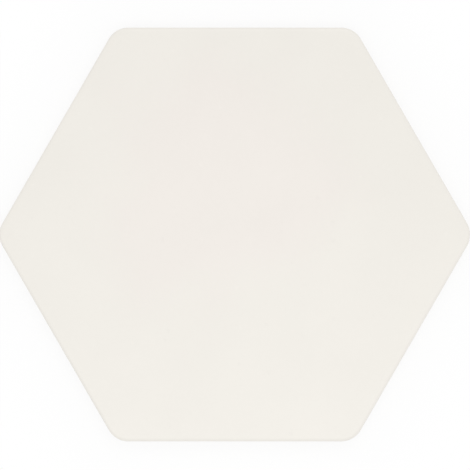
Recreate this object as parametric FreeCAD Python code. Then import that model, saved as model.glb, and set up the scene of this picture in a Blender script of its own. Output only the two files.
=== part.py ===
import FreeCAD, Part

import math
import os

# Hexagon floor tile, pressed and fired as one piece. It lies on its back, with the glazed
# face up, its corners on the X axis and two of its edges along X. The origin is the middle
# of the plane that the back stands on. All sizes are in millimetres, and angles in degrees.

ACROSS_FLATS = 220.0  # between opposite edges
CORNER_RADIUS = 12.0  # of the six corners, seen from above
THICKNESS = 9.0  # from the ribs of the back to the glazed face
ARRIS_RADIUS = 2.0  # of the rolled edge round the glazed face
BACK_BEVEL = 1.0  # width and height of the bevel round the back

CELL_FLATS = 15.0  # mouth of one keying cell in the back, between opposite walls
CELL_DEPTH = 0.8  # from the ribs to the floor of a cell
CELL_DRAFT = 35.0  # lean of a cell's walls from upright, for the press to let go
RIB_WIDTH = 3.0  # raised rib between two cells
RIM_WIDTH = 6.0  # least width of the plain rim between the cells and the bevel

SIDES = 6
SIDE_ANGLE = 360.0 / SIDES
CELL_TURN = SIDE_ANGLE / 2  # the cells have corners where the tile has edges
HEIGHT_TOLERANCE = 1e-6


def polar(reach, angle):
    """Point at that distance and direction from the origin, on the plane of the back."""
    turn = math.radians(angle)
    return FreeCAD.Vector(reach * math.cos(turn), reach * math.sin(turn), 0.0)


def reach_of_corner(flats):
    """Distance from a regular hexagon's middle to its corners."""
    return flats / 2 / math.cos(math.pi / SIDES)


def hexagon_corners(flats, first_angle, middle):
    """Corners of a regular hexagon round a point, anticlockwise."""
    reach = reach_of_corner(flats)
    return [middle + polar(reach, first_angle + k * SIDE_ANGLE) for k in range(SIDES)]


def rounded_hexagon(flats, radius):
    """Face of a hexagon with its corners on the X axis, each rounded by that radius."""
    middle = FreeCAD.Vector(0.0, 0.0, 0.0)
    if radius <= 0.0:
        corners = hexagon_corners(flats, 0.0, middle)
        return Part.Face(Part.makePolygon(corners + corners[:1]))
    centres = hexagon_corners(flats - 2 * radius, 0.0, middle)
    edges = []
    for k, centre in enumerate(centres):
        along = k * SIDE_ANGLE
        start, top, end = (
            centre + polar(radius, along + turn)
            for turn in (-SIDE_ANGLE / 2, 0.0, SIDE_ANGLE / 2)
        )
        next_start = centres[(k + 1) % SIDES] + polar(radius, along + SIDE_ANGLE / 2)
        edges.append(Part.Arc(start, top, end).toShape())
        edges.append(Part.makeLine(end, next_start))
    return Part.Face(Part.Wire(edges))


def edges_at_height(solid, height):
    """Edges of a solid that lie wholly in the level plane at that height."""
    return [
        edge
        for edge in solid.Edges
        if abs(edge.BoundBox.ZMin - height) < HEIGHT_TOLERANCE
        and abs(edge.BoundBox.ZMax - height) < HEIGHT_TOLERANCE
    ]


def pressed_blank():
    """Plain tile: its outline at full thickness, with the arris rolled and the back bevelled."""
    outline = rounded_hexagon(ACROSS_FLATS, CORNER_RADIUS)
    block = outline.extrude(FreeCAD.Vector(0.0, 0.0, THICKNESS))
    rolled = block.makeFillet(ARRIS_RADIUS, edges_at_height(block, THICKNESS))
    return rolled.makeChamfer(BACK_BEVEL, edges_at_height(rolled, 0.0))


def cell_middles():
    """Middles of the keying cells: a honeycomb, as far out as whole cells leave the rim."""
    inset = BACK_BEVEL + RIM_WIDTH
    land = rounded_hexagon(ACROSS_FLATS - 2 * inset, CORNER_RADIUS - inset)
    pitch = CELL_FLATS + RIB_WIDTH
    column = polar(pitch, 0.0)
    row = polar(pitch, SIDE_ANGLE)
    rings = int(reach_of_corner(ACROSS_FLATS) / pitch)
    middles = []
    for i in range(-rings, rings + 1):
        for j in range(-rings, rings + 1):
            middle = column * i + row * j
            corners = hexagon_corners(CELL_FLATS, CELL_TURN, middle)
            if all(land.isInside(corner, HEIGHT_TOLERANCE, True) for corner in corners):
                middles.append(middle)
    return middles


def cell_space(middle):
    """Hollow of one keying cell, narrowing from its mouth in the back to its floor."""
    narrowing = CELL_DEPTH * math.tan(math.radians(CELL_DRAFT))
    rise = FreeCAD.Vector(0.0, 0.0, CELL_DEPTH)
    mouth = hexagon_corners(CELL_FLATS, CELL_TURN, middle)
    floor = hexagon_corners(CELL_FLATS - 2 * narrowing, CELL_TURN, middle + rise)
    rings = [mouth, floor]
    for k in range(SIDES):
        n = (k + 1) % SIDES
        rings.append([mouth[k], mouth[n], floor[n], floor[k]])
    faces = [Part.Face(Part.makePolygon(ring + ring[:1])) for ring in rings]
    return Part.Solid(Part.Shell(faces))


def hexagon_tile():
    """The whole tile, with its honeycomb of shallow cells pressed into the back."""
    cells = [cell_space(middle) for middle in cell_middles()]
    return pressed_blank().cut(Part.makeCompound(cells))


def main():
    os.makedirs("parts", exist_ok=True)
    tile = hexagon_tile()
    box = tile.optimalBoundingBox(True, False)
    print(f"solids {len(tile.Solids)}, valid {tile.isValid()}, volume {tile.Volume:.1f} mm3")
    print(f"box {box.XLength:.2f} x {box.YLength:.2f} x {box.ZLength:.2f} mm, z from {box.ZMin:.3f}")
    print(f"cells {len(cell_middles())}")
    tile.exportStep("parts/hexagon_tile.step")


main()
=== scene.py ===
import math
from collections import namedtuple

import bpy
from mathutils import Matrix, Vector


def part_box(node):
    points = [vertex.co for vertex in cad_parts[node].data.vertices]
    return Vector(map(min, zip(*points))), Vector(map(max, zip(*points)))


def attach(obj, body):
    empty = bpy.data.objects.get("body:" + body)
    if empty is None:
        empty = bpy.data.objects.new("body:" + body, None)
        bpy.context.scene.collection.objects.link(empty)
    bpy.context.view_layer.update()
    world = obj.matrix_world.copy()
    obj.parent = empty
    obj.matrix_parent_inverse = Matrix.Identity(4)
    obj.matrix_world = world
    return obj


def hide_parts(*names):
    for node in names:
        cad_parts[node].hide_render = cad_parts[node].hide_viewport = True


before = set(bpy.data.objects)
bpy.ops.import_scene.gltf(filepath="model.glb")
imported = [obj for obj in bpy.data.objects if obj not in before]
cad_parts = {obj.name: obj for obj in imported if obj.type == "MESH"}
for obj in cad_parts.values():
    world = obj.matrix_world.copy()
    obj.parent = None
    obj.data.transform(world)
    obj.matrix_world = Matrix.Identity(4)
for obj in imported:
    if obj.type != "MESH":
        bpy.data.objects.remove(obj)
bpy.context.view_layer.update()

# Hexagon floor tile: one pressed, glazed and fired stoneware tile, lying on its back on a
# pale floor. Lengths are in metres, in the frame of the CAD model: the glazed face looks up,
# along +Z, two corners lie on the X axis, and the ribs of the back stand on the plane z = 0.

MM = 0.001

SIDES = 6
SIDE_ANGLE = math.radians(60.0)  # from each corner to the next
COS_30 = math.cos(SIDE_ANGLE / 2)

# Outline and thickness, from the CAD solid
HAIR = 0.001 * MM  # keeps the finished tile just inside that solid's box
HIGHEST_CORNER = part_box("hexagon_tile")[1]
HALF_CORNERS, HALF_FLATS, THICKNESS = (reach - HAIR for reach in HIGHEST_CORNER)
# Rounding a corner by a radius draws it in by that radius times 1 / cos 30 - 1.
CORNER_RADIUS = (HALF_FLATS / COS_30 - HALF_CORNERS) / (1 / COS_30 - 1)
CORNER_STEPS = 24

# Section of the edge
FLAT_FACE_INSET = 6.0 * MM  # from there inwards the face is level
SHOULDER_INSET = 3.0 * MM  # where the face starts to fall away towards its edge
SHOULDER_FALL = math.radians(4.0)
SHOULDER_RADIUS = 30.0 * MM
SHOULDER_STEPS = 4
ARRIS_RADIUS = 2.0 * MM  # rolled edge round the glazed face
ARRIS_STEPS = 12
BACK_BEVEL = 1.0 * MM
BACK_SOFTENING = 0.3 * MM  # radius that firing leaves on the two edges of the bevel
BEVEL_STEPS = 3
BACK_LAND_INSET = 2.6 * MM  # the plain rim of the back starts there

# Honeycomb of keying cells in the back
CELL_MOUTH = 15.0 * MM  # between opposite walls
RIB_WIDTH = 3.0 * MM
CELL_PITCH = CELL_MOUTH + RIB_WIDTH
CELL_DEPTH = 0.8 * MM
CELL_DRAFT = math.radians(35.0)  # lean of the walls from upright
CELL_CORNER_RADIUS = 1.0 * MM
CELL_CORNER_STEPS = 2
CELL_FLOOR_INSET = 0.6 * MM  # from the foot of the walls to where a cell's floor is level
CELL_TURN = SIDE_ANGLE / 2  # the cells have corners where the tile has sides
CELL_RINGS = 6  # rings of cells round the middle one
RIB_SOFTENING = 0.35 * MM

WELD_DISTANCE = 0.002 * MM


# Node helpers

def feed(tree, socket, value):
    """Gives a node's input another node's output, a colour of three numbers or a plain value."""
    if isinstance(value, bpy.types.NodeSocket):
        tree.links.new(value, socket)
    elif socket.type == "RGBA":
        socket.default_value = (*value, 1.0)
    else:
        socket.default_value = value


def add(tree, kind, inputs=None, **settings):
    """Adds a node with these properties, and these inputs by name or number."""
    made = tree.nodes.new(kind)
    for name, value in settings.items():
        setattr(made, name, value)
    for key, value in (inputs or {}).items():
        feed(tree, made.inputs[key], value)
    return made


def calc(tree, operation, *values):
    """Result of one Math node."""
    inputs = dict(enumerate(values))
    return add(tree, "ShaderNodeMath", inputs, operation=operation).outputs[0]


def point(tree, x, y, z):
    """Vector put together from three numbers."""
    return add(tree, "ShaderNodeCombineXYZ", {"X": x, "Y": y, "Z": z}).outputs[0]


def apart(tree, vector):
    """The three numbers of a vector."""
    return add(tree, "ShaderNodeSeparateXYZ", {"Vector": vector}).outputs


def new_geometry_tree(name, inputs):
    """Geometry tree with these named inputs, and one geometry output. Returns it, its inputs
    as outputs of the first node, and the last node."""
    tree = bpy.data.node_groups.new(name, "GeometryNodeTree")
    for label, kind in inputs.items():
        tree.interface.new_socket(label, in_out="INPUT", socket_type=kind)
    tree.interface.new_socket("Mesh", in_out="OUTPUT", socket_type="NodeSocketGeometry")
    return tree, tree.nodes.new("NodeGroupInput").outputs, tree.nodes.new("NodeGroupOutput")


def of_point(tree, name):
    """What each point of a geometry holds: its Index, Position or Radius."""
    return tree.nodes.new("GeometryNodeInput" + name).outputs[0]


def moved(tree, geometry, places):
    """The geometry with its points at these places."""
    inputs = {"Geometry": geometry, "Position": places}
    return add(tree, "GeometryNodeSetPosition", inputs).outputs[0]


def weld(tree, mesh):
    """The mesh with points that coincide made one."""
    inputs = {"Geometry": mesh, "Distance": WELD_DISTANCE}
    return add(tree, "GeometryNodeMergeByDistance", inputs).outputs[0]


def flipped(tree, mesh):
    """The mesh with its faces turned over."""
    return add(tree, "GeometryNodeFlipFaces", {"Mesh": mesh}).outputs[0]


def real(tree, geometry):
    """The geometry with its instances made real."""
    return add(tree, "GeometryNodeRealizeInstances", {"Geometry": geometry}).outputs[0]


def joined(tree, *parts):
    """Several geometries as one."""
    join = tree.nodes.new("GeometryNodeJoinGeometry")
    for part in reversed(parts):
        tree.links.new(part, join.inputs[0])
    return join.outputs[0]


# Shape of the tile

# Corner of a section: its distance from the middle, its height, and the radius that rounds
# it in that many steps.
Corner = namedtuple("Corner", "out height radius steps", defaults=(0.0, 1))


def section_line(tree, corners):
    """Curve through the corners of a section, each of them rounded."""
    index = of_point(tree, "Index")

    def by_index(data_type, values):
        """The value of the corner that a point of the line stands for."""
        switch = add(tree, "GeometryNodeIndexSwitch", data_type=data_type)
        while len(switch.index_switch_items) < len(corners):
            switch.index_switch_items.new()
        feed(tree, switch.inputs["Index"], index)
        for k, value in enumerate(values):
            feed(tree, switch.inputs[k + 1], value)
        return switch.outputs[0]

    line = add(tree, "GeometryNodeMeshLine", {"Count": len(corners)}).outputs[0]
    points = [point(tree, corner.out, 0.0, corner.height) for corner in corners]
    angular = moved(tree, line, by_index("VECTOR", points))
    inputs = {
        "Curve": add(tree, "GeometryNodeMeshToCurve", {"Mesh": angular}).outputs[0],
        "Count": by_index("INT", [corner.steps for corner in corners]),
        "Radius": by_index("FLOAT", [corner.radius for corner in corners]),
    }
    return add(tree, "GeometryNodeFilletCurve", inputs, mode="POLY").outputs[0]


def middle_distance(tree):
    """How far out a point of a section lies."""
    return apart(tree, of_point(tree, "Position"))["X"]


def with_corner_radius(tree, section, radius):
    """The section, with the radius of the hexagon's corners kept as the curve's radius."""
    inputs = {"Curve": section, "Radius": calc(tree, "MAXIMUM", radius, 0.0)}
    return add(tree, "GeometryNodeSetCurveRadius", inputs).outputs[0]


def sweep_group():
    """Node group that carries a section round a hexagon with rounded corners."""
    inputs = {
        "Section": "NodeSocketGeometry",
        "Steps a Corner": "NodeSocketInt",
        "First Corner": "NodeSocketFloat",
    }
    tree, given, result = new_geometry_tree("Section round a hexagon", inputs)
    section = given["Section"]
    steps = given["Steps a Corner"]
    size = add(tree, "GeometryNodeAttributeDomainSize", {"Geometry": section}, component="CURVE")
    rows = size.outputs["Point Count"]
    points_a_corner = calc(tree, "ADD", steps, 1.0)
    columns = calc(tree, "MULTIPLY_ADD", points_a_corner, SIDES, 1.0)
    grid = add(tree, "GeometryNodeMeshGrid", {"Vertices X": columns, "Vertices Y": rows})

    index = of_point(tree, "Index")
    row = calc(tree, "MODULO", index, rows)
    column = calc(tree, "FLOOR", calc(tree, "DIVIDE", index, rows))

    def of_section(data_type, name):
        """What the section holds at the point that belongs to this row of the grid."""
        inputs = {"Geometry": section, "Value": of_point(tree, name), "Index": row}
        return add(tree, "GeometryNodeSampleIndex", inputs, data_type=data_type).outputs[0]

    out, _, height = apart(tree, of_section("FLOAT_VECTOR", "Position"))
    radius = of_section("FLOAT", "Radius")

    corner = calc(tree, "FLOOR", calc(tree, "DIVIDE", column, points_a_corner))
    step = calc(tree, "MODULO", column, points_a_corner)
    share = calc(tree, "DIVIDE", step, steps)
    along = calc(tree, "MULTIPLY_ADD", corner, SIDE_ANGLE, given["First Corner"])
    turned = calc(tree, "MULTIPLY_ADD", share, SIDE_ANGLE, -SIDE_ANGLE / 2)
    facing = calc(tree, "ADD", along, turned)
    reach = calc(tree, "DIVIDE", calc(tree, "SUBTRACT", out, radius), COS_30)

    def on_axis(function):
        """X with the cosine, Y with the sine: out to the corner's centre, and round it."""
        to_centre = calc(tree, "MULTIPLY", reach, calc(tree, function, along))
        return calc(tree, "MULTIPLY_ADD", radius, calc(tree, function, facing), to_centre)

    target = point(tree, on_axis("COSINE"), on_axis("SINE"), height)
    shaped = moved(tree, grid.outputs["Mesh"], target)
    feed(tree, result.inputs[0], flipped(tree, weld(tree, shaped)))
    return tree


def swept(tree, sweep, section, steps, first_corner):
    """The section carried round a hexagon by that node group."""
    inputs = {"Section": section, "Steps a Corner": steps, "First Corner": first_corner}
    return add(tree, "GeometryNodeGroup", inputs, node_tree=sweep).outputs[0]


def tile_shell(tree, given, sweep):
    """Glazed face, rolled arris, sides and bevel, as far as the rim of the back."""
    half = given["Half Flats"]
    top = given["Thickness"]
    bevel = given["Back Bevel"]
    soft = given["Back Softening"]

    def inwards(inset):
        """Distance from the middle, that far in from the sides."""
        return calc(tree, "SUBTRACT", half, inset)

    inset = given["Shoulder Inset"]
    fall = calc(tree, "MULTIPLY", inset, calc(tree, "TANGENT", given["Shoulder Fall"]))
    corners = [
        Corner(0.0, top),
        Corner(inwards(given["Flat Face Inset"]), top),
        Corner(inwards(inset), top, given["Shoulder Radius"], SHOULDER_STEPS),
        Corner(half, calc(tree, "SUBTRACT", top, fall), given["Arris Radius"], ARRIS_STEPS),
        Corner(half, bevel, soft, BEVEL_STEPS),
        Corner(inwards(bevel), 0.0, soft, BEVEL_STEPS),
        Corner(inwards(given["Back Land Inset"]), 0.0),
    ]
    line = section_line(tree, corners)
    drawn_in = calc(tree, "SUBTRACT", middle_distance(tree), half)
    radius = calc(tree, "ADD", given["Corner Radius"], drawn_in)
    return swept(tree, sweep, with_corner_radius(tree, line, radius), CORNER_STEPS, 0.0)


def keying_cell(tree, given, sweep):
    """One cell of the honeycomb, from the middle of the ribs round it to its floor."""
    depth = given["Cell Depth"]
    soft = given["Rib Softening"]
    edge = calc(tree, "MULTIPLY", given["Cell Pitch"], 0.5)
    mouth = calc(tree, "MULTIPLY", given["Cell Mouth"], 0.5)
    narrowing = calc(tree, "MULTIPLY", depth, calc(tree, "TANGENT", given["Cell Draft"]))
    foot = calc(tree, "SUBTRACT", mouth, narrowing)
    corners = [
        Corner(edge, 0.0),
        Corner(mouth, 0.0, soft),
        Corner(foot, depth, soft),
        Corner(calc(tree, "SUBTRACT", foot, given["Cell Floor Inset"]), depth),
        Corner(0.0, depth),
    ]
    line = section_line(tree, corners)
    out = middle_distance(tree)
    inner = calc(tree, "ADD", calc(tree, "SUBTRACT", out, mouth), given["Cell Corner Radius"])
    outer = calc(tree, "SUBTRACT", edge, out)
    section = with_corner_radius(tree, line, calc(tree, "MINIMUM", inner, outer))
    return swept(tree, sweep, section, CELL_CORNER_STEPS, CELL_TURN)


def cell_places(tree, given):
    """Middles of the cells: rings of a triangular lattice round the middle of the tile. They
    are a square grid without two of its corners, leant over."""
    rings = given["Cell Rings"]
    span = calc(tree, "MULTIPLY", calc(tree, "MULTIPLY", rings, 2.0), given["Cell Pitch"])
    count = calc(tree, "MULTIPLY_ADD", rings, 2.0, 1.0)
    inputs = {"Size X": span, "Size Y": span, "Vertices X": count, "Vertices Y": count}
    grid = add(tree, "GeometryNodeMeshGrid", inputs).outputs["Mesh"]
    x, y, _ = apart(tree, of_point(tree, "Position"))
    towards_corner = calc(tree, "ABSOLUTE", calc(tree, "ADD", x, y))
    just_over_half = calc(tree, "MULTIPLY", span, 0.501)
    beyond = calc(tree, "GREATER_THAN", towards_corner, just_over_half)
    inputs = {"Geometry": grid, "Selection": beyond}
    kept = add(tree, "GeometryNodeDeleteGeometry", inputs, domain="POINT").outputs[0]
    leant_x = calc(tree, "MULTIPLY_ADD", y, math.cos(SIDE_ANGLE), x)
    leant_y = calc(tree, "MULTIPLY", y, math.sin(SIDE_ANGLE))
    return moved(tree, kept, point(tree, leant_x, leant_y, 0.0))


def honeycomb(tree, given, sweep):
    """All cells, welded to each other along the middle of their ribs."""
    inputs = {"Points": cell_places(tree, given), "Instance": keying_cell(tree, given, sweep)}
    cells = add(tree, "GeometryNodeInstanceOnPoints", inputs).outputs[0]
    return weld(tree, real(tree, cells))


def back_rim(tree, open_mesh):
    """Level rim that fills the back between the bevel and the outermost cells."""
    faces_at_edge = tree.nodes.new("GeometryNodeInputMeshEdgeNeighbors").outputs["Face Count"]
    open_edge = calc(tree, "LESS_THAN", faces_at_edge, 1.5)  # one face instead of two
    inputs = {"Mesh": open_mesh, "Selection": open_edge}
    loops = add(tree, "GeometryNodeMeshToCurve", inputs).outputs[0]
    filled = add(tree, "GeometryNodeFillCurve", {"Curve": loops}, mode="TRIANGLES").outputs[0]
    return flipped(tree, filled)


def tile_tree(sizes, material):
    """Geometry tree of the whole tile, with an input for each of the sizes."""
    inputs = {"Geometry": "NodeSocketGeometry"}
    for label, size in sizes.items():
        inputs[label] = "NodeSocketInt" if isinstance(size, int) else "NodeSocketFloat"
    tree, given, result = new_geometry_tree("Hexagon floor tile", inputs)
    sweep = sweep_group()
    open_back = joined(tree, tile_shell(tree, given, sweep), honeycomb(tree, given, sweep))
    whole = weld(tree, joined(tree, open_back, back_rim(tree, open_back)))
    smooth = add(tree, "GeometryNodeSetShadeSmooth", {"Geometry": whole}).outputs[0]
    inputs = {"Geometry": real(tree, smooth), "Material": material}
    finished = add(tree, "GeometryNodeSetMaterial", inputs).outputs[0]
    feed(tree, result.inputs[0], finished)
    return tree


def keep_used_slots(mesh):
    """Takes out the empty material slot that a tree leaves in front of its material."""
    used = [material for material in mesh.materials if material]
    mesh.materials.clear()
    for material in used:
        mesh.materials.append(material)
    for face in mesh.polygons:
        face.material_index = 0


def plain_mesh(name, tree, sizes):
    """Object whose mesh is what the tree makes with these sizes, with no modifier left. Its
    large faces are shaded flat, and the narrow ones between them round the edges off."""
    source = bpy.data.objects.new(name, bpy.data.meshes.new(name))
    bpy.context.scene.collection.objects.link(source)
    shape = source.modifiers.new("Shape", "NODES")
    shape.node_group = tree
    identifiers = {item.name: item.identifier for item in tree.interface.items_tree}
    for label, size in sizes.items():
        shape[identifiers[label]] = size
    shading = source.modifiers.new("Shading", "WEIGHTED_NORMAL")
    shading.mode = "FACE_AREA_WITH_ANGLE"
    depsgraph = bpy.context.evaluated_depsgraph_get()
    evaluated = source.evaluated_get(depsgraph)
    mesh = bpy.data.meshes.new_from_object(evaluated, depsgraph=depsgraph)
    source.modifiers.clear()
    source.data = mesh
    mesh.name = name
    keep_used_slots(mesh)
    return source


def hexagon_tile(material):
    """The tile, as one closed mesh."""
    sizes = {
        "Half Flats": HALF_FLATS,
        "Corner Radius": CORNER_RADIUS,
        "Thickness": THICKNESS,
        "Flat Face Inset": FLAT_FACE_INSET,
        "Shoulder Inset": SHOULDER_INSET,
        "Shoulder Fall": SHOULDER_FALL,
        "Shoulder Radius": SHOULDER_RADIUS,
        "Arris Radius": ARRIS_RADIUS,
        "Back Bevel": BACK_BEVEL,
        "Back Softening": BACK_SOFTENING,
        "Back Land Inset": BACK_LAND_INSET,
        "Cell Pitch": CELL_PITCH,
        "Cell Mouth": CELL_MOUTH,
        "Cell Depth": CELL_DEPTH,
        "Cell Draft": CELL_DRAFT,
        "Cell Corner Radius": CELL_CORNER_RADIUS,
        "Cell Floor Inset": CELL_FLOOR_INSET,
        "Rib Softening": RIB_SOFTENING,
        "Cell Rings": CELL_RINGS,
    }
    return plain_mesh("glazed_tile", tile_tree(sizes, material), sizes)


# Glaze and body

# Noise in a surface. The length is that of its waves, and the strength is how far they move a
# tone, a gloss, a height or a place, from the lowest trough to the highest crest there can be.
# So many rows of finer waves lie on the first, each weaker than the last by the roughness.
Waves = namedtuple("Waves", "length strength finer roughness", defaults=(2.0, 0.5))
# Small round grains spread through the piece, at most one in each cell of that spacing, and
# only in that share of the cells. The strength is how far they move a tone.
Specks = namedtuple("Specks", "spacing radius share strength")
SPECK_SCATTER = 0.9  # of the grains in their cells, from 0, in rows, to 1, anywhere
SPECK_CORE = 0.5  # share of a grain's radius up to which it has its full strength

GLAZE_COLOUR = (0.890, 0.855, 0.801)
GLAZE_CLOUDS = Waves(38.0 * MM, 0.042, 3.0)
GLAZE_MOTTLE = Waves(2.4 * MM, 0.014, 3.0)
GLAZE_FLECKS = Specks(6.0 * MM, 0.42 * MM, 0.35, -0.035)
SOFT_MARKS = Specks(13.0 * MM, 1.5 * MM, 0.45, -0.016)  # a little darker than the rest,
SOFT_POOLS = Specks(11.0 * MM, 1.2 * MM, 0.45, 0.013)  # and a little lighter
SMUDGE = Waves(1.5 * MM, 3.0 * MM)  # frays the outline of the soft marks and pools

WARM_TINT = (1.005, 0.995, 1.0)  # of the glaze in the middle of the face,
COOL_TINT = (0.9955, 1.0025, 0.9985)  # and towards its edges
WARM_MIDDLE = (-8.0 * MM, 30.0 * MM, THICKNESS)
WARM_REACH = (35.0 * MM, 90.0 * MM)  # from that middle, all warm and all cool
WARM_UNEVENNESS = Waves(71.0 * MM, 110.0 * MM, 4.0, 0.6)

GLAZE_RUN = 2.9 * MM  # mean drop of the glaze, from the face down the sides
GLAZE_LINE_WAVES = Waves(24.0 * MM, 1.5 * MM)
GLAZE_LINE_FRAY = Waves(1.6 * MM, 0.5 * MM)
GLAZE_LINE_BLUR = 0.12 * MM
STRAY_DROPS = Specks(1.6 * MM, 0.26 * MM, 0.5, 1.0)
DROP_REACH = 2.4 * MM  # how far below the glaze line they sit

ARRIS_SHADE_AND_THINNING = 0.012  # share of the body mixed in over the arris, as painted shade and thin glaze,
THIN_AT_LINE = 0.38  # and right above the glaze line
THIN_AT_LINE_HEIGHT = 0.8 * MM
# Drops below the face at which the painted shade over the arris, with the glaze thinning
# there, starts and is deepest, and those at which it starts to fade and is gone again
ARRIS_SHADE_AND_THINNING_IN = (0.15 * MM, 0.7 * MM)
ARRIS_SHADE_AND_THINNING_OUT = (0.9 * MM, 1.9 * MM)

BODY_COLOUR = (0.62, 0.565, 0.485)
BODY_GRAINS = Waves(0.53 * MM, 0.16, 2.0, 0.6)
BODY_PATCHES = Waves(29.0 * MM, 0.15, 3.0)
IRON_COLOUR = (0.20, 0.135, 0.085)
IRON_SPECKS = Specks(2.6 * MM, 0.22 * MM, 0.22, 0.55)

WASH_COLOUR = (0.80, 0.775, 0.73)
WASH_HEIGHT = (0.04 * MM, 0.22 * MM)  # above the foot of the ribs, all there and all gone
WASH_SHARE = 0.5
WASH_PATCHES = Waves(17.0 * MM, 1.3, 4.0, 0.6)
WASH_GRAINS = Waves(0.77 * MM, 1.2)

# Fine relief, with its heights in millimetres
GLAZE_COAT = 0.053
GLAZE_RIPPLE = Waves(4.3 * MM, 0.022)
GLAZE_PORES = Waves(0.91 * MM, 0.004)
BODY_RELIEF = Waves(0.59 * MM, 0.07, 3.0, 0.65)
DIE_MARKS = Waves(1.3 * MM, 0.05)
DIE_DRAW = 0.12  # width of the die marks as a share of their height

GLAZE_ROUGHNESS = 0.40
GLAZE_SHEEN = Waves(11.0 * MM, 0.08, 3.0)
BODY_ROUGHNESS = 0.86
BODY_SHEEN = Waves(1.1 * MM, 0.12)
GLASS_IOR = 1.5


def new_material(name):
    """Material with an empty tree. Returns it, its tree and its output node."""
    material = bpy.data.materials.new(name)
    material.use_nodes = True
    tree = material.node_tree
    tree.nodes.clear()
    return material, tree, tree.nodes.new("ShaderNodeOutputMaterial")


def own_place(tree):
    """Where a point of the surface lies, in the object's own coordinates."""
    return tree.nodes.new("ShaderNodeTexCoord").outputs["Object"]


def noise(tree, vector, waves):
    """Noise node with those waves. Its Fac goes from 0 to 1, round one half."""
    inputs = {
        "Vector": vector,
        "Scale": 1.0 / waves.length,
        "Detail": waves.finer,
        "Roughness": waves.roughness,
    }
    return add(tree, "ShaderNodeTexNoise", inputs).outputs


def uneven(tree, mean, vector, waves):
    """The mean, raised and lowered by those waves."""
    centred = calc(tree, "SUBTRACT", noise(tree, vector, waves)["Fac"], 0.5)
    return calc(tree, "MULTIPLY_ADD", centred, waves.strength, mean)


def ramp(tree, value, start, end, low=0.0, high=1.0):
    """Goes softly from low to high as the value goes from start to end, and stays there."""
    inputs = {"Value": value, "From Min": start, "From Max": end, "To Min": low, "To Max": high}
    made = add(tree, "ShaderNodeMapRange", inputs, interpolation_type="SMOOTHSTEP", clamp=True)
    return made.outputs[0]


def speckled(tree, ground, vector, specks):
    """The ground, raised by the specks' strength where the surface cuts one."""
    inputs = {"Vector": vector, "Scale": 1.0 / specks.spacing, "Randomness": SPECK_SCATTER}
    cells = add(tree, "ShaderNodeTexVoronoi", inputs, feature="F1")
    chance = apart(tree, cells.outputs["Color"])["X"]
    chosen = calc(tree, "LESS_THAN", chance, specks.share)
    radius = specks.radius / specks.spacing
    core = radius * SPECK_CORE
    dot = ramp(tree, cells.outputs["Distance"], core, radius, specks.strength, 0.0)
    return calc(tree, "MULTIPLY_ADD", dot, chosen, ground)


def smudged(tree, vector, waves):
    """The place, shifted a little to and fro, which frays what is drawn with it."""
    inputs = {0: noise(tree, vector, waves)["Color"], 1: (0.5, 0.5, 0.5)}
    centred = add(tree, "ShaderNodeVectorMath", inputs, operation="SUBTRACT").outputs[0]
    inputs = {0: centred, 1: (waves.strength,) * 3, 2: vector}
    return add(tree, "ShaderNodeVectorMath", inputs, operation="MULTIPLY_ADD").outputs[0]


def blend_number(tree, share, first, second):
    """Mix of two numbers, by the share of the second."""
    return calc(tree, "MULTIPLY_ADD", share, calc(tree, "SUBTRACT", second, first), first)


def blend_colour(tree, share, first, second, kind="MIX"):
    """Mix of two colours, by the share of the second."""
    colour_inputs = {0: share, 6: first, 7: second}
    mix = add(tree, "ShaderNodeMix", colour_inputs, data_type="RGBA", blend_type=kind)
    return mix.outputs[2]


def toned(tree, colour, tone):
    """The colour, lighter or darker by a tone round 1."""
    return blend_colour(tree, 1.0, colour, point(tree, tone, tone, tone), "MULTIPLY")


def height_over_glaze_line(tree, coords):
    """Height above the lower edge of the glaze, which runs over the arris and ends a little
    unevenly down the sides."""
    x, y, z = apart(tree, coords)
    line = uneven(tree, THICKNESS - GLAZE_RUN, point(tree, x, y, 0.0), GLAZE_LINE_WAVES)
    line = uneven(tree, line, coords, GLAZE_LINE_FRAY)
    return calc(tree, "SUBTRACT", z, line)


def glaze_cover(tree, coords, above):
    """1 where glaze covers the body: all above its line, and a few stray drops below."""
    coat = ramp(tree, above, -GLAZE_LINE_BLUR, GLAZE_LINE_BLUR)
    drops = speckled(tree, 0.0, coords, STRAY_DROPS)
    near = ramp(tree, above, -DROP_REACH, 0.0)
    return calc(tree, "MAXIMUM", coat, calc(tree, "MULTIPLY", drops, near))


def thin_glaze_and_arris_shade(tree, coords, above):
    """How much of the body is mixed into the glaze: as painted shade over the arris, where
    the glaze also thins, and where the glaze thins towards its lower edge."""
    drop = calc(tree, "SUBTRACT", THICKNESS, apart(tree, coords)["Z"])
    # Painted shade over the rolled arris, partly also the real thinning of the glaze there
    arris_shade_rise = ramp(tree, drop, *ARRIS_SHADE_AND_THINNING_IN)
    thin = ramp(tree, drop, *ARRIS_SHADE_AND_THINNING_OUT, ARRIS_SHADE_AND_THINNING, 0.0)
    arris_shade_and_thinning = calc(tree, "MULTIPLY", arris_shade_rise, thin)
    at_line = ramp(tree, above, 0.0, THIN_AT_LINE_HEIGHT, THIN_AT_LINE, 0.0)
    return calc(tree, "MAXIMUM", arris_shade_and_thinning, at_line)


def glaze_tint(tree, coords):
    """The glaze fired a hair warmer in the middle of the face, in an uneven patch."""
    inputs = {0: coords, 1: WARM_MIDDLE}
    away = add(tree, "ShaderNodeVectorMath", inputs, operation="DISTANCE").outputs["Value"]
    away = uneven(tree, away, coords, WARM_UNEVENNESS)
    return blend_colour(tree, ramp(tree, away, *WARM_REACH), WARM_TINT, COOL_TINT)


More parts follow.
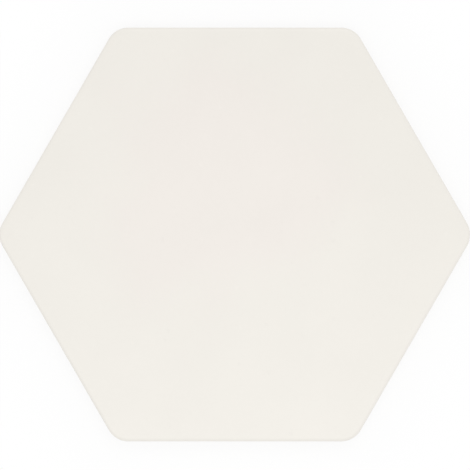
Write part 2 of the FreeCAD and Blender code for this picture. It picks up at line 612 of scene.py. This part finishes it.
def glaze_colour(tree, coords):
    """Warm off-white, a little cloudy, with a few faint flecks and soft marks."""
    tone = uneven(tree, 1.0, coords, GLAZE_CLOUDS)
    tone = uneven(tree, tone, coords, GLAZE_MOTTLE)
    tone = speckled(tree, tone, coords, GLAZE_FLECKS)
    frayed = smudged(tree, coords, SMUDGE)
    tone = speckled(tree, tone, frayed, SOFT_MARKS)
    tone = speckled(tree, tone, frayed, SOFT_POOLS)
    tinted = blend_colour(tree, 1.0, GLAZE_COLOUR, glaze_tint(tree, coords), "MULTIPLY")
    return toned(tree, tinted, tone)


def kiln_wash(tree, coords):
    """Share of the whitish wash that is rolled on the back, so that it doesn't stick in the
    kiln: a thin grainy film on the ribs and the rim, and none in the cells or up the sides."""
    share = uneven(tree, WASH_SHARE, coords, WASH_PATCHES)
    share = uneven(tree, share, coords, WASH_GRAINS)
    low = ramp(tree, apart(tree, coords)["Z"], *WASH_HEIGHT, 1.0, 0.0)
    return calc(tree, "MULTIPLY", share, low)


def body_colour(tree, coords):
    """Bare fired body: pressed grains, a few dark specks, and kiln wash on the ribs."""
    tone = uneven(tree, 1.0, coords, BODY_GRAINS)
    tone = uneven(tree, tone, coords, BODY_PATCHES)
    iron = speckled(tree, 0.0, coords, IRON_SPECKS)
    colour = blend_colour(tree, iron, toned(tree, BODY_COLOUR, tone), IRON_COLOUR)
    return blend_colour(tree, kiln_wash(tree, coords), colour, WASH_COLOUR)


def relief(tree, coords, cover):
    """Height of the fine surface, in millimetres. The glaze is a thin, faintly rippled coat.
    The body is grainy, with upright marks on its sides from the die."""
    glaze = uneven(tree, GLAZE_COAT, coords, GLAZE_RIPPLE)
    glaze = uneven(tree, glaze, coords, GLAZE_PORES)
    x, y, z = apart(tree, coords)
    drawn = point(tree, x, y, calc(tree, "MULTIPLY", z, DIE_DRAW))
    body = uneven(tree, 0.0, drawn, DIE_MARKS)
    body = uneven(tree, body, coords, BODY_RELIEF)
    return blend_number(tree, cover, body, glaze)


def glazed_stoneware():
    """Satin glaze over a bare body, told apart by where the glaze reaches."""
    material, tree, result = new_material("glazed_stoneware_finish")
    coords = own_place(tree)
    above = height_over_glaze_line(tree, coords)
    cover = glaze_cover(tree, coords, above)
    body = body_colour(tree, coords)
    # The coat's colour carries the painted shade over the arris
    coat = blend_colour(tree, thin_glaze_and_arris_shade(tree, coords, above), glaze_colour(tree, coords), body)
    satin = uneven(tree, GLAZE_ROUGHNESS, coords, GLAZE_SHEEN)
    matt = uneven(tree, BODY_ROUGHNESS, coords, BODY_SHEEN)
    inputs = {"Strength": 1.0, "Distance": MM, "Height": relief(tree, coords, cover)}
    bump = add(tree, "ShaderNodeBump", inputs)
    inputs = {
        "Base Color": blend_colour(tree, cover, body, coat),
        "Roughness": blend_number(tree, cover, matt, satin),
        "IOR": GLASS_IOR,
        "Normal": bump.outputs[0],
    }
    surface = add(tree, "ShaderNodeBsdfPrincipled", inputs)
    feed(tree, result.inputs["Surface"], surface.outputs[0])
    return material


# Floor, light and camera

WHITE = (1.0, 1.0, 1.0)
FLOOR_COLOUR = (0.96, 0.96, 0.96)
FLOOR_SIZE = 6.0
FLOOR_DROP = 0.02 * MM  # keeps the floor clear of the ribs
# The camera sees the floor as a mix of its paint, with the tile's shadow on it, and plain
# white. The white starts a little inside the tile's outline and is at its share just outside
# it, and then grows to all of it.
WHITE_BY_TILE = 0.86
WHITE_FROM_SIDES = (-1.2 * MM, 0.5 * MM)
WHITE_FROM_CORNERS = (-1.8 * MM, 0.3 * MM)
ALL_WHITE_FROM = 50.0 * MM

# Shares of the light on the middle of the face. They add up to one, a plain level, less two
# hundredths that the width of the lamps takes off.
WALLS_SHARE = 0.79
KEY_SHARE = 0.08
FRONT_SHARE = 0.13
KEY_PLACE = (1.0, 4.5, 5.4)
KEY_SIZE = (3.0, 3.0)
FRONT_PLACE = (0.0, -0.30, 0.75)
FRONT_SIZE = (0.8, 0.2)

LENS = 120.0  # the lens and the sensor are in millimetres
SENSOR = 36.0
FRAME_WIDTH = 249.9 * MM  # width of the picture at the height where the sides start
CAMERA_OFFSET = (0.13 * MM, -0.26 * MM)  # the tile isn't quite in the middle of the picture


def seen_rays(tree):
    """1 for what the camera sees, straight, in a reflection or through glass."""
    rays = tree.nodes.new("ShaderNodeLightPath").outputs
    seen = calc(tree, "ADD", rays["Is Camera Ray"], rays["Is Glossy Ray"])
    return calc(tree, "MINIMUM", calc(tree, "ADD", seen, rays["Is Transmission Ray"]), 1.0)


def past_sides(tree, x, y):
    """How far a place on the floor lies outside the tile's sides."""
    reach = 0.0
    for k in range(SIDES // 2):
        turn = (k + 0.5) * SIDE_ANGLE
        across = calc(tree, "MULTIPLY", y, math.sin(turn))
        across = calc(tree, "MULTIPLY_ADD", x, math.cos(turn), across)
        reach = calc(tree, "MAXIMUM", calc(tree, "ABSOLUTE", across), reach)
    return calc(tree, "SUBTRACT", reach, HALF_FLATS)


def past_corners(tree, x, y):
    """How far a place on the floor lies outside the circle through the tile's corners."""
    squared = calc(tree, "MULTIPLY_ADD", x, x, calc(tree, "MULTIPLY", y, y))
    return calc(tree, "SUBTRACT", calc(tree, "SQRT", squared), HALF_CORNERS)


def floor_white(tree):
    """Share of plain white on the floor: none right under the tile, most of it from the
    tile's outline outwards, and all of it further off, where no shadow of the tile falls."""
    x, y, _ = apart(tree, own_place(tree))
    from_sides = past_sides(tree, x, y)
    out_of_sides = ramp(tree, from_sides, *WHITE_FROM_SIDES)
    out_of_corners = ramp(tree, past_corners(tree, x, y), *WHITE_FROM_CORNERS)
    outside = calc(tree, "MAXIMUM", out_of_sides, out_of_corners)
    share = ramp(tree, from_sides, 0.0, ALL_WHITE_FROM, WHITE_BY_TILE, 1.0)
    return calc(tree, "MULTIPLY", outside, share)


def floor():
    """Pale floor that looks white and keeps some of the tile's shadow, and all of it right
    under the tile."""
    half = FLOOR_SIZE / 2
    mesh = bpy.data.meshes.new("pale_floor")
    corners = [(-half, -half), (half, -half), (half, half), (-half, half)]
    mesh.from_pydata([(x, y, -FLOOR_DROP) for x, y in corners], [], [(0, 1, 2, 3)])
    made = bpy.data.objects.new("pale_floor", mesh)
    bpy.context.scene.collection.objects.link(made)
    material, tree, result = new_material("pale_floor_paint")
    paint = add(tree, "ShaderNodeBsdfDiffuse", {"Color": FLOOR_COLOUR})
    white = add(tree, "ShaderNodeEmission", {"Color": WHITE, "Strength": 1.0})
    share = calc(tree, "MULTIPLY", seen_rays(tree), floor_white(tree))
    mix = add(tree, "ShaderNodeMixShader", {0: share, 1: paint.outputs[0], 2: white.outputs[0]})
    feed(tree, result.inputs["Surface"], mix.outputs[0])
    mesh.materials.append(material)


def studio_walls():
    """White all round: plain white to the camera, and softer as light."""
    world = bpy.data.worlds.new("studio")
    bpy.context.scene.world = world
    world.use_nodes = True
    tree = world.node_tree
    tree.nodes.clear()
    strength = blend_number(tree, seen_rays(tree), WALLS_SHARE, 1.0)
    white = add(tree, "ShaderNodeBackground", {"Color": WHITE, "Strength": strength})
    feed(tree, tree.nodes.new("ShaderNodeOutputWorld").inputs["Surface"], white.outputs[0])


def softbox(name, place, size, share):
    """Rectangular soft light that looks at the middle of the tile, and gives its face about
    that share of the light under which a colour looks as it is written."""
    lamp = bpy.data.lights.new(name, "AREA")
    lamp.shape = "RECTANGLE"
    lamp.size, lamp.size_y = size
    made = bpy.data.objects.new(name, lamp)
    made.location = place
    distance = made.location.length
    slant = made.location.z / distance
    # Without the share, a small lamp of this power gives the face pi watts a square metre, as
    # white walls of strength 1 all round do.
    lamp.energy = share * (math.pi * distance) ** 2 / slant
    made.rotation_euler = made.location.to_track_quat("Z", "Y").to_euler()
    bpy.context.scene.collection.objects.link(made)


def camera():
    """Looks straight down at the tile, with the top of the picture towards +Y."""
    lens = bpy.data.cameras.new("camera")
    lens.lens = LENS
    lens.sensor_width = SENSOR
    made = bpy.data.objects.new("camera", lens)
    height = THICKNESS - ARRIS_RADIUS + FRAME_WIDTH * LENS / SENSOR
    made.location = (*CAMERA_OFFSET, height)
    bpy.context.scene.collection.objects.link(made)
    bpy.context.scene.camera = made


def main():
    bpy.context.scene.view_settings.view_transform = "Standard"
    camera()
    studio_walls()
    softbox("key_softbox", KEY_PLACE, KEY_SIZE, KEY_SHARE)
    softbox("front_softbox", FRONT_PLACE, FRONT_SIZE, FRONT_SHARE)
    floor()

    tile = hexagon_tile(glazed_stoneware())
    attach(tile, "root")
    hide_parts("hexagon_tile")


main()
